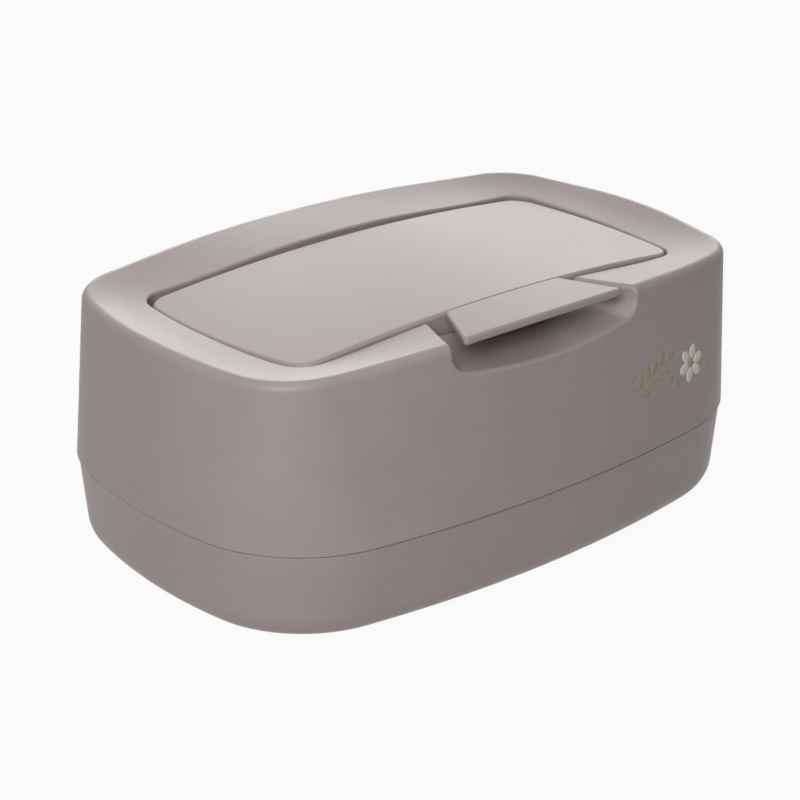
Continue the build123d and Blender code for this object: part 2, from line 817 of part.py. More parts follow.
tab_plan_bottom = tab_bottom - tab_crown
with BuildPart() as release_button:
    with BuildSketch(Plane.XZ.offset(-tab_rear)):
        with BuildLine():
            ThreePointArc(
                (-tab_front_half_width, tab_top - tab_crown), (0, tab_top),
                (tab_front_half_width, tab_top - tab_crown),
            )
            Line(
                (tab_front_half_width, tab_top - tab_crown),
                (tab_front_half_width, tab_bottom - tab_crown),
            )
            ThreePointArc(
                (tab_front_half_width, tab_bottom - tab_crown), (0, tab_bottom),
                (-tab_front_half_width, tab_bottom - tab_crown),
            )
            Line(
                (-tab_front_half_width, tab_bottom - tab_crown),
                (-tab_front_half_width, tab_top - tab_crown),
            )
        make_face()
    extrude(amount=tab_rear - tab_front)
    with BuildSketch(Plane.XY.offset(tab_plan_bottom)) as tab_plan:
        with BuildLine():
            ThreePointArc(
                (-tab_front_half_width, tab_front + tab_bow), (0, tab_front),
                (tab_front_half_width, tab_front + tab_bow),
            )
            Polyline(
                (tab_front_half_width, tab_front + tab_bow), (tab_rear_half_width, tab_rear),
                (-tab_rear_half_width, tab_rear), (-tab_front_half_width, tab_front + tab_bow),
            )
        make_face()
        fillet(tab_plan.vertices(), tab_corner)
    extrude(amount=tab_thickness + 2 * tab_crown, mode=Mode.INTERSECT)
    fillet(release_button.edges().filter_by(Axis.Z, reverse=True), tab_edge_round)
    across(
        side_profile(
            (web_front, button_z), (web_rear, button_z),
            (web_rear, tab_bottom + tab_edge_round), (web_front, tab_bottom + tab_edge_round),
        ),
        -web_half_width, web_half_width,
    )
    across(disc(button_y, button_z, button_knuckle_radius), -web_half_width, web_half_width)
    across(
        side_profile(
            (web_front + web_overlap, hook_bottom), (hook_end, hook_bottom),
            (hook_end, hook_bottom + hook_tip), (web_rear, hook_bottom + hook_rise),
            (web_front + web_overlap, hook_bottom + hook_rise),
        ),
        -hook_half_width, hook_half_width,
    )
    gusset = side_profile(
        (web_front + web_overlap, tab_bottom + web_overlap),
        (web_front - gusset_reach, tab_bottom + web_overlap),
        (web_front - gusset_reach, tab_bottom), (web_front, tab_bottom - gusset_drop),
        (web_front + web_overlap, tab_bottom - gusset_drop),
    )
    for side in (-1, 1):
        across(gusset, side * gusset_spread - gusset_wall / 2, side * gusset_spread + gusset_wall / 2)
    across(
        side_profile(
            (button_y - button_knuckle_radius, button_z), (button_y + button_knuckle_radius, button_z),
            (button_y + 2 * button_knuckle_radius, tail_top),
            (spring_y + tail_half_width, tail_top), (spring_y + tail_half_width, tail_top - tail_wall),
            (button_y, tail_top - tail_wall),
        ),
        -tail_half_width, tail_half_width,
    )
    across(
        disc(button_y, button_z, button_pin_radius + button_fit),
        -web_half_width, web_half_width, mode=Mode.SUBTRACT,
    )
release_button.part.label = "release_button"
export_step(release_button.part, "parts/release_button.step")

with BuildPart() as button_pin:
    across(disc(button_y, button_z, button_pin_radius), -cheek_outer, cheek_outer)
    chamfer(button_pin.faces().filter_by(Axis.X).edges(), pin_bevel)
button_pin.part.label = "button_pin"
export_step(button_pin.part, "parts/button_pin.step")

# Weight plate and its bars

with BuildPart() as weight_plate:
    extrude(box_plan(plate_bottom, -plate_inset), amount=plate_rim_height)
    extrude(
        box_plan(plate_top, -plate_inset - plate_rim_wall),
        amount=plate_rim_height - plate_wall, mode=Mode.SUBTRACT,
    )
    with BuildSketch(Plane.XY.offset(plate_top)):
        SlotOverall(plate_slot_length + 2 * plate_slot_lip, plate_slot_width + 2 * plate_slot_lip)
    extrude(amount=plate_slot_rise)
    with BuildSketch(Plane.XY.offset(plate_bottom)):
        SlotOverall(plate_slot_length, plate_slot_width)
    extrude(amount=plate_wall + plate_slot_rise, mode=Mode.SUBTRACT)
    with BuildSketch(Plane.XY.offset(plate_top)):
        with GridLocations(2 * bar_x, 1, 2, 1):
            Rectangle(
                bar_width + 2 * (bar_fit + bar_nest_wall), bar_length + 2 * (bar_fit + bar_nest_wall)
            )
            Rectangle(bar_width + 2 * bar_fit, bar_length + 2 * bar_fit, mode=Mode.SUBTRACT)
    extrude(amount=bar_nest_height)
weight_plate.part.label = "weight_plate"
export_step(weight_plate.part, "parts/weight_plate.step")

for side, side_name in ((-1, "left"), (1, "right")):
    name = "weight_bar_" + side_name
    with BuildPart() as weight_bar:
        with BuildSketch(Plane.XY.offset(plate_top)):
            with Locations((side * bar_x, 0)):
                Rectangle(bar_width, bar_length)
        extrude(amount=bar_height)
        chamfer(weight_bar.faces().sort_by(Axis.Z)[-1].edges(), bar_bevel)
    weight_bar.part.label = name
    export_step(weight_bar.part, "parts/" + name + ".step")
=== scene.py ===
import json
import logging
import math
from dataclasses import dataclass
from enum import Enum
from typing import Protocol, Union

import bmesh
import bpy
from mathutils import Matrix, Vector
from mathutils.bvhtree import BVHTree

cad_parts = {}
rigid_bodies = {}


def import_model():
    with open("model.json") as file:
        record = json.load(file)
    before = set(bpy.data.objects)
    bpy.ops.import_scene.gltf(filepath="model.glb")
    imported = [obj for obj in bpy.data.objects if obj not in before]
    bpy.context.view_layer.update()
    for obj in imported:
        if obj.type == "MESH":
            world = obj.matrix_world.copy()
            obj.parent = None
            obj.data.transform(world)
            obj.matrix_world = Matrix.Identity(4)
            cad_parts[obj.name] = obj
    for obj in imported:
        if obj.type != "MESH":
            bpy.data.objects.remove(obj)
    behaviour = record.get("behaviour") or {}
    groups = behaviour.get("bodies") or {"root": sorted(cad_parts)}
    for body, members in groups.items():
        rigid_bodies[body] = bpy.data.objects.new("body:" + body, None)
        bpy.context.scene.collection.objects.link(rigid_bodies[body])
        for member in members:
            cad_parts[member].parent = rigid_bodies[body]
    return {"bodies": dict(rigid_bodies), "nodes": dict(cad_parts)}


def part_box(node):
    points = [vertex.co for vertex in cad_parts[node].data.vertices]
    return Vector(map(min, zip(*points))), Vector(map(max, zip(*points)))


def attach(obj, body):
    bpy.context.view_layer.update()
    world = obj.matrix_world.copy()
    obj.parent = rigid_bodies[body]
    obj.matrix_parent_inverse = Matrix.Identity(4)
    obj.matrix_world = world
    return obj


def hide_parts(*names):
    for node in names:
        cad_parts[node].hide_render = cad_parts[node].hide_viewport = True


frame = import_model()

MM = 0.001
WELD = 0.001 * MM
WHITE = (1.0, 1.0, 1.0, 1.0)

Number = Union[int, float]
Pair = tuple[float, float]
Point = tuple[float, float, float]
Colour = tuple[float, float, float]
Paint = Union[Colour, bpy.types.NodeSocket]

log = logging.getLogger("wipes_box")


class Body(Enum):
    """The rigid bodies that the new pieces ride on."""

    TRAY = "tray"
    COVER = "cover"
    LID = "lid"


class Slot(Enum):
    """The record's material slots."""

    SHELL = "shell"
    SEAL = "seal"
    FOOT = "foot"


class Axis(Enum):
    """The direction that a drawn finish runs along, as a stretch of its pattern."""

    X = (0.02, 1.0, 1.0)
    Y = (1.0, 0.02, 1.0)


# Shader arithmetic


# The colour sockets of a Mix node, by number because its other kinds have the same names.
MIX_SHARE, MIX_FIRST, MIX_SECOND = 0, 6, 7
MIX_RESULT = 2


class Signal:
    """A number that varies over a surface or between rays, for use in Python expressions."""

    def __init__(self, graph: "Graph", socket: bpy.types.NodeSocket) -> None:
        """Wraps an output socket of a node tree."""
        self.graph = graph
        self.socket = socket

    def __add__(self, other: "Operand") -> "Signal":
        """The sum of two values."""
        return self.graph.maths("ADD", self, other)

    def __radd__(self, other: "Operand") -> "Signal":
        """The sum of a number and a value."""
        return self.graph.maths("ADD", other, self)

    def __sub__(self, other: "Operand") -> "Signal":
        """The difference of two values."""
        return self.graph.maths("SUBTRACT", self, other)

    def __rsub__(self, other: "Operand") -> "Signal":
        """A number less a value."""
        return self.graph.maths("SUBTRACT", other, self)

    def __mul__(self, other: "Operand") -> "Signal":
        """The product of two values."""
        return self.graph.maths("MULTIPLY", self, other)

    def __rmul__(self, other: "Operand") -> "Signal":
        """The product of a number and a value."""
        return self.graph.maths("MULTIPLY", other, self)

    def __lt__(self, other: "Operand") -> "Signal":
        """1 where this value is under the other, else 0."""
        return self.graph.maths("LESS_THAN", self, other)


Operand = Union[Signal, Number]


class Graph:
    """A node tree and the ways to add to it."""

    def __init__(self, tree: bpy.types.NodeTree) -> None:
        """Takes over a node tree and empties it."""
        self.tree = tree
        self.tree.nodes.clear()

    def node(
        self, kind: str, settings: dict[str, object] | None = None,
        inputs: dict[str | int, object] | None = None,
    ) -> bpy.types.Node:
        """Adds one node.

        Args:
            kind: The node's type name, without its ShaderNode prefix.
            settings: Properties of the node, set before its sockets.
            inputs: Values or links by socket name or number.

        Returns:
            The new node.
        """
        made = self.tree.nodes.new("ShaderNode" + kind)
        for name, value in (settings or {}).items():
            if name == "stops":
                self._set_stops(made, value)
            else:
                setattr(made, name, value)
        for name, value in (inputs or {}).items():
            if isinstance(value, Signal):
                self.tree.links.new(value.socket, made.inputs[name])
            elif isinstance(value, bpy.types.NodeSocket):
                self.tree.links.new(value, made.inputs[name])
            else:
                made.inputs[name].default_value = value
        return made

    @staticmethod
    def _set_stops(ramp: bpy.types.Node, stops: tuple[Pair, ...]) -> None:
        """Gives a colour ramp its grey stops.

        Args:
            ramp: The ramp's node.
            stops: The place and the level of each stop.
        """
        elements = ramp.color_ramp.elements
        while len(elements) < len(stops):
            elements.new(1.0)
        for element, (place, level) in zip(elements, stops):
            element.position = place
            element.color = (level, level, level, 1.0)

    def maths(self, operation: str, first: Operand, second: Operand) -> Signal:
        """Adds a Math node and returns its result."""
        made = self.node("Math", {"operation": operation}, {0: first, 1: second})
        return Signal(self, made.outputs[0])

    def mix(
        self, share: Signal, first: bpy.types.Node, second: bpy.types.Node
    ) -> bpy.types.NodeSocket:
        """Mixes two shaders by a share of the second."""
        inputs = {0: share, 1: first.outputs[0], 2: second.outputs[0]}
        return self.node("MixShader", None, inputs).outputs[0]

    def plainly_seen(self) -> Signal:
        """Tells the rays that show the background from those that light the object.

        Returns:
            1 for a ray from the camera, off a shiny surface or through a clear one, else 0.
        """
        rays = self.node("LightPath")
        seen = Signal(self, rays.outputs["Is Camera Ray"])
        mirrored = Signal(self, rays.outputs["Is Glossy Ray"])
        through = Signal(self, rays.outputs["Is Transmission Ray"])
        return self.maths("MAXIMUM", self.maths("MAXIMUM", seen, mirrored), through)


class Recipe(Graph):
    """A material and the nodes that make its finish."""

    noise_roughness: float = 0.55

    def __init__(self, name: str) -> None:
        """Starts an empty material.

        Args:
            name: The material's name.
        """
        self.material = bpy.data.materials.new(name)
        self.material.use_nodes = True
        super().__init__(self.material.node_tree)

    def places(self, stretch: Point = (1.0, 1.0, 1.0)) -> bpy.types.NodeSocket:
        """Reads the object's own coordinates.

        Args:
            stretch: A factor for each axis.

        Returns:
            The stretched coordinates.
        """
        coordinates = self.node("TexCoord").outputs["Object"]
        mapping = self.node("Mapping", None, {"Vector": coordinates, "Scale": stretch})
        return mapping.outputs["Vector"]

    def noise(self, size: float, detail: float = 2.0, stretch: Point = (1.0, 1.0, 1.0)) -> Signal:
        """Soft noise between about 0 and 1.

        Args:
            size: The size of its features in metres.
            detail: How many finer layers it has.
            stretch: A factor for each axis of the pattern.

        Returns:
            The noise as a value.
        """
        inputs = {
            "Vector": self.places(stretch),
            "Scale": 1.0 / size,
            "Detail": detail,
            "Roughness": self.noise_roughness,
        }
        cloudy = self.node("TexNoise", {"noise_dimensions": "3D"}, inputs)
        return Signal(self, cloudy.outputs["Fac"])

    def specks(self, spacing: float, size: float) -> Signal:
        """Scattered round specks.

        Args:
            spacing: Their mean spacing in metres.
            size: Their radius in metres.

        Returns:
            1 inside a speck and 0 outside.
        """
        inputs = {"Vector": self.places(), "Scale": 1.0 / spacing, "Randomness": 1.0}
        cells = self.node("TexVoronoi", {"feature": "F1"}, inputs)
        return Signal(self, cells.outputs["Distance"]) < size / spacing

    def ramp(self, value: Signal, span: Pair, first: float = 0.0, last: float = 1.0) -> Signal:
        """A value put through a ramp.

        Args:
            value: The value.
            span: Where the ramp starts and ends.
            first: Its level up to the start.
            last: Its level from the end on.

        Returns:
            The ramp's level.
        """
        stops = ((span[0], first), (span[1], last))
        made = self.node("ValToRGB", {"stops": stops}, {"Fac": value})
        return Signal(self, made.outputs["Color"])

    def blend(self, share: Operand, first: Paint, second: Paint) -> bpy.types.NodeSocket:
        """Two colours mixed by a share of the second."""
        inputs = {MIX_SHARE: share, MIX_FIRST: self._paint(first), MIX_SECOND: self._paint(second)}
        return self.node("Mix", {"data_type": "RGBA"}, inputs).outputs[MIX_RESULT]

    @staticmethod
    def _paint(colour: Paint) -> object:
        """A colour as four numbers, or a link left as it is."""
        return (*colour, 1.0) if isinstance(colour, tuple) else colour

    def bump(
        self, height: Signal, depth: float, under: bpy.types.NodeSocket | None = None
    ) -> bpy.types.NodeSocket:
        """Tilts the surface with a height.

        Args:
            height: The height between 0 and 1.
            depth: Its depth in metres.
            under: A normal that it adds to, if any.

        Returns:
            The tilted normal.
        """
        inputs = {"Height": height, "Distance": depth}
        if under is not None:
            inputs["Normal"] = under
        return self.node("Bump", None, inputs).outputs["Normal"]

    def surface(self, **sockets: object) -> bpy.types.Material:
        """Joins a Principled shader to the output.

        Args:
            **sockets: Its values or links, with _ for a space in a socket's name.

        Returns:
            The finished material.
        """
        inputs = {name.replace("_", " "): value for name, value in sockets.items()}
        shader = self.node("BsdfPrincipled", None, inputs)
        self.node("OutputMaterial", None, {"Surface": shader.outputs[0]})
        return self.material


def tinted(colour: Colour, factor: float) -> Colour:
    """A colour made lighter or darker by a factor."""
    return tuple(min(1.0, channel * factor) for channel in colour)


# Finishes


NOISE_MIDDLE = 0.5
NOISE_SPAN: Pair = (0.3, 0.7)


@dataclass(frozen=True)
class Speckle:
    """Scattered specks: their mean spacing, radius, strength and tone against the ground."""

    spacing: float
    size: float
    share: float
    tone: float


@dataclass(frozen=True)
class SatinPlastic:
    """Moulded plastic with a fine spark grain, faint clouds and specks of pigment."""

    name: str
    colour: Colour
    roughness: float = 0.44
    index: float = 1.48
    cloud_size: float = 26 * MM
    cloud_share: float = 0.035
    cloud_gloss: float = 0.10
    fleck_size: float = 0.55 * MM
    fleck_span: Pair = (0.35, 0.65)
    fleck_share: float = 0.05
    fleck_tone: float = 0.55
    fleck_gloss: float = 0.14
    pigment: Speckle = Speckle(4.2 * MM, 0.16 * MM, 0.22, 0.45)
    dust: Speckle = Speckle(7.3 * MM, 0.13 * MM, 0.25, 1.35)
    grain_size: float = 0.28 * MM
    grain_depth: float = 0.010 * MM
    warp_size: float = 34 * MM
    warp_depth: float = 0.06 * MM

    def material(self) -> bpy.types.Material:
        """Builds the finish.

        Returns:
            Its material.
        """
        recipe = Recipe(self.name)
        clouds = recipe.noise(self.cloud_size, detail=3.0)
        flecks = recipe.noise(self.fleck_size)
        body = recipe.blend(
            recipe.ramp(clouds, NOISE_SPAN),
            tinted(self.colour, 1 - self.cloud_share), tinted(self.colour, 1 + self.cloud_share),
        )
        body = recipe.blend(
            recipe.ramp(flecks, self.fleck_span, self.fleck_share, 0.0),
            body, tinted(self.colour, self.fleck_tone),
        )
        for specks in (self.pigment, self.dust):
            share = recipe.specks(specks.spacing, specks.size) * specks.share
            body = recipe.blend(share, body, tinted(self.colour, specks.tone))
        gloss = (
            self.roughness
            + (clouds - NOISE_MIDDLE) * self.cloud_gloss
            + (flecks - NOISE_MIDDLE) * self.fleck_gloss
        )
        warp = recipe.bump(recipe.noise(self.warp_size, detail=1.0), self.warp_depth)
        skin = recipe.bump(recipe.noise(self.grain_size, detail=3.0), self.grain_depth, warp)
        return recipe.surface(Base_Color=body, Roughness=gloss, Normal=skin, IOR=self.index)


@dataclass(frozen=True)
class Elastomer:
    """Rubber or silicone: matt, slightly uneven, with a dusty bloom."""

    name: str
    colour: Colour
    bloom: Colour
    roughness: float = 0.62
    index: float = 1.45
    cloud_size: float = 5 * MM
    cloud_gloss: float = 0.2
    bloom_span: Pair = (0.45, 0.75)
    bloom_share: float = 0.30
    pore_size: float = 0.4 * MM
    pore_depth: float = 0.02 * MM
    pore_span: Pair = (0.4, 0.6)
    pore_share: float = 0.08
    pore_tone: float = 0.6

    def material(self) -> bpy.types.Material:
        """Builds the finish.

        Returns:
            Its material.
        """
        recipe = Recipe(self.name)
        clouds = recipe.noise(self.cloud_size, detail=4.0)
        pores = recipe.noise(self.pore_size)
        dusty = recipe.ramp(clouds, self.bloom_span, 0.0, self.bloom_share)
        body = recipe.blend(dusty, self.colour, self.bloom)
        dark = recipe.ramp(pores, self.pore_span, self.pore_share, 0.0)
        body = recipe.blend(dark, body, tinted(self.colour, self.pore_tone))
        gloss = self.roughness + (clouds - NOISE_MIDDLE) * self.cloud_gloss
        skin = recipe.bump(pores, self.pore_depth)
        return recipe.surface(Base_Color=body, Roughness=gloss, Normal=skin, IOR=self.index)


@dataclass(frozen=True)
class DrawnSteel:
    """Plain steel with fine draw lines along one axis."""

    name: str
    run: Axis
    colour: Colour = (0.56, 0.56, 0.57)
    roughness: float = 0.30
    line_width: float = 0.12 * MM
    line_depth: float = 0.008 * MM
    line_tones: Pair = (0.82, 1.1)
    line_gloss: float = 0.22
    stain_size: float = 3.0 * MM
    stain_colour: Colour = (0.36, 0.33, 0.30)
    stain_span: Pair = (0.55, 0.8)
    stain_share: float = 0.35
    stain_gloss: float = 0.12

    def material(self) -> bpy.types.Material:
        """Builds the finish.

        Returns:
            Its material.
        """
        recipe = Recipe(self.name)
        lines = recipe.noise(self.line_width, detail=4.0, stretch=self.run.value)
        stains = recipe.noise(self.stain_size, detail=3.0)
        dark, light = (tinted(self.colour, tone) for tone in self.line_tones)
        body = recipe.blend(recipe.ramp(lines, NOISE_SPAN), dark, light)
        stained = recipe.ramp(stains, self.stain_span, 0.0, self.stain_share)
        body = recipe.blend(stained, body, self.stain_colour)
        gloss = (
            self.roughness
            + (lines - NOISE_MIDDLE) * self.line_gloss
            + (stains - NOISE_MIDDLE) * self.stain_gloss
        )
        skin = recipe.bump(lines, self.line_depth)
        return recipe.surface(Base_Color=body, Metallic=1.0, Roughness=gloss, Normal=skin)


@dataclass(frozen=True)
class PrintInk:
    """A pad-printed ink film, with the fine pinholes of such a film."""

    name: str
    colour: Colour
    under: Colour
    roughness: float = 0.40
    index: float = 1.48
    film_size: float = 1.6 * MM
    film_depth: float = 0.01 * MM
    film_tones: Pair = (0.95, 1.04)
    film_gloss: float = 0.12
    pinhole_spacing: float = 1.1 * MM
    pinhole_size: float = 0.05 * MM
    pinhole_share: float = 0.5

    def material(self) -> bpy.types.Material:
        """Builds the finish.

        Returns:
            Its material.
        """
        recipe = Recipe(self.name)
        film = recipe.noise(self.film_size, detail=3.0)
        pinholes = recipe.specks(self.pinhole_spacing, self.pinhole_size)
        thick, thin = (tinted(self.colour, tone) for tone in self.film_tones)
        body = recipe.blend(recipe.ramp(film, NOISE_SPAN), thick, thin)
        body = recipe.blend(pinholes * self.pinhole_share, body, self.under)
        gloss = self.roughness + (film - NOISE_MIDDLE) * self.film_gloss
        skin = recipe.bump(film, self.film_depth)
        return recipe.surface(Base_Color=body, Roughness=gloss, Normal=skin, IOR=self.index)


@dataclass(frozen=True)
class StudioSweep:
    """The pale ground, which the camera sees as nearly white with a soft shadow."""

    name: str
    colour: Colour = (0.62, 0.62, 0.62)
    cloud_size: float = 0.4
    cloud_tone: float = 0.985
    shine: float = 1.0
    glow_share: float = 0.94

    def material(self) -> bpy.types.Material:
        """Builds the finish.

        Returns:
            Its material.
        """
        recipe = Recipe(self.name)
        clouds = recipe.noise(self.cloud_size)
        paint = recipe.blend(clouds, tinted(self.colour, self.cloud_tone), self.colour)
        matt = recipe.node("BsdfDiffuse", None, {"Color": paint})
        white = recipe.node("Emission", None, {"Color": WHITE, "Strength": self.shine})
        share = recipe.plainly_seen() * self.glow_share
        recipe.node("OutputMaterial", None, {"Surface": recipe.mix(share, matt, white)})
        return recipe.material


TAUPE: Colour = (0.400, 0.340, 0.325)
TAUPE_SHELL = SatinPlastic("taupe_shell", TAUPE)
TAUPE_LID = SatinPlastic("taupe_lid", TAUPE, roughness=0.42, fleck_share=0.07)
PLATE_PLASTIC = SatinPlastic("plate_plastic", (0.71, 0.67, 0.61), roughness=0.5)
SEAL_SILICONE = Elastomer("seal_silicone", (0.72, 0.68, 0.60), (0.82, 0.79, 0.74), roughness=0.5)
FOOT_RUBBER = Elastomer("foot_rubber", (0.145, 0.128, 0.120), (0.30, 0.28, 0.26), roughness=0.78)
PIN_STEEL = DrawnSteel("pin_steel", Axis.X)
WIRE_STEEL = DrawnSteel("wire_steel", Axis.X, roughness=0.26)
BAR_STEEL = DrawnSteel("bar_steel", Axis.Y, roughness=0.36)
CREAM_INK = PrintInk("cream_ink", (0.84, 0.79, 0.69), TAUPE)
TAN_INK = PrintInk("tan_ink", (0.40, 0.315, 0.205), TAUPE)
GROUND = StudioSweep("studio_sweep")


class Finish(Protocol):
    """What every finish has."""

    name: str

    def material(self) -> bpy.types.Material:
        """Builds the finish and returns its material."""


class Finishes:
    """Materials by finish, each built once."""

    def __init__(self) -> None:
        """Starts with none built."""
        self.built: dict[str, bpy.types.Material] = {}

    def of(self, finish: Finish) -> bpy.types.Material:
        """Finds the material of a finish, and builds it on first use.

        Args:
            finish: The finish.

        Returns:
            Its material.
        """
        if finish.name not in self.built:
            self.built[finish.name] = finish.material()
        return self.built[finish.name]


# Mesh helpers


def finished(name: str, form: bmesh.types.BMesh, material: bpy.types.Material) -> bpy.types.Object:
    """Turns a bmesh into an object at the origin, with smooth faces.

    Args:
        name: The object's name.
        form: The bmesh, which is freed.
        material: The material of all its faces.

    Returns:
        The linked object.
    """
    for face in form.faces:
        face.smooth = True
    mesh = bpy.data.meshes.new(name)
    form.to_mesh(mesh)
    form.free()
    mesh.materials.append(material)
    piece = bpy.data.objects.new(name, mesh)
    bpy.context.scene.collection.objects.link(piece)
    return piece


def crisp(piece: bpy.types.Object, angle: float) -> None:
    """Marks a piece's open and angled edges as sharp, so only the soft ones shade smooth.

    Args:
        piece: The piece.
        angle: The angle from which an edge is sharp.
    """
    form = bmesh.new()
    form.from_mesh(piece.data)
    for edge in form.edges:
        edge.smooth = len(edge.link_faces) == 2 and edge.calc_face_angle(0.0) < angle
    form.to_mesh(piece.data)
    form.free()


def verts_of(items: list) -> list[bmesh.types.BMVert]:
    """The vertices among the parts of a mesh that an operator returned."""
    return [item for item in items if isinstance(item, bmesh.types.BMVert)]


def edges_of(items: list) -> list[bmesh.types.BMEdge]:
    """The edges among the parts of a mesh that an operator returned."""
    return [item for item in items if isinstance(item, bmesh.types.BMEdge)]


def heading(turn: float) -> Vector:
    """The direction at an angle in a plane."""
    return Vector((math.cos(turn), math.sin(turn)))


def paint_node(name: str, material: bpy.types.Material) -> None:
    """Gives every slot of a CAD node one material and reports it.

    Args:
        name: The node's name.
        material: Its material.
    """
    node = frame["nodes"][name]
    for place in node.material_slots:
        place.material = material
    log.info("dressed %s with %s", name, material.name)


# Sub-assemblies


@dataclass
class RubberFoot:
    """A round foot with a soft lower edge and rings moulded in its tread."""

    node: str
    edge_round: float = 0.7 * MM
    round_steps: int = 3
    ring_pitch: float = 1.5 * MM
    ring_depth: float = 0.25 * MM
    groove: tuple[Pair, ...] = ((0, 0), (1 / 6, 1), (1 / 2, 1), (2 / 3, 0))
    bare_pitches: float = 1.5
    segments: int = 48
    crease: float = math.radians(35)

    def _outline(self, radius: float, low: float, high: float) -> list[Pair]:
        """Draws the foot's section from its top, down its side and across its tread.

        Args:
            radius: The foot's radius.
            low: The height of its tread.
            high: The height of its top.

        Returns:
            The section's points, out from the middle and up.
        """
        outline = [(0.0, high), (radius, high), (radius, low + self.edge_round)]
        for step in range(1, self.round_steps + 1):
            turn = math.radians(90 * step / self.round_steps)
            outline.append((
                radius - self.edge_round * (1 - math.cos(turn)),
                low + self.edge_round * (1 - math.sin(turn)),
            ))
        reach = radius - self.edge_round - self.ring_pitch / 2
        while reach > self.bare_pitches * self.ring_pitch:
            for inward, rise in self.groove:
                outline.append((reach - inward * self.ring_pitch, low + rise * self.ring_depth))
            reach -= self.ring_pitch
        outline.append((0.0, low))
        return outline

    def build(self, material: bpy.types.Material) -> bpy.types.Object:
        """Spins the foot's section.

        Args:
            material: The foot's finish.

        Returns:
            The piece that replaces the node.
        """
        low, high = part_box(self.node)
        middle = (low + high) / 2
        outline = self._outline((high.x - low.x) / 2, low.z, high.z)
        form = bmesh.new()
        rim = [form.verts.new((middle.x + out, middle.y, up)) for out, up in outline]
        edges = [form.edges.new(pair) for pair in zip(rim, rim[1:])]
        bmesh.ops.spin(
            form, geom=rim + edges, cent=(middle.x, middle.y, 0), axis=(0, 0, 1),
            angle=math.tau, steps=self.segments, use_merge=True, use_duplicate=False,
        )
        bmesh.ops.remove_doubles(form, verts=form.verts, dist=WELD)
        bmesh.ops.recalc_face_normals(form, faces=form.faces)
        piece = finished(self.node + "_tread", form, material)
        crisp(piece, self.crease)
        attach(piece, Body.TRAY.value)
        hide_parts(self.node)
        log.info("built %s", piece.name)
        return piece


@dataclass
class Tray:
    """The low tub that the box stands on, with its four feet."""

    shell_node: str = "base_tray"

    def dress(self, finishes: Finishes) -> None:
        """Gives the tub its finish and puts the moulded feet in its sockets.

        Args:
            finishes: The materials.
        """
        paint_node(self.shell_node, finishes.of(TAUPE_SHELL))
        for row in ("front", "rear"):
            for side in ("left", "right"):
                RubberFoot(f"foot_{row}_{side}").build(finishes.of(FOOT_RUBBER))


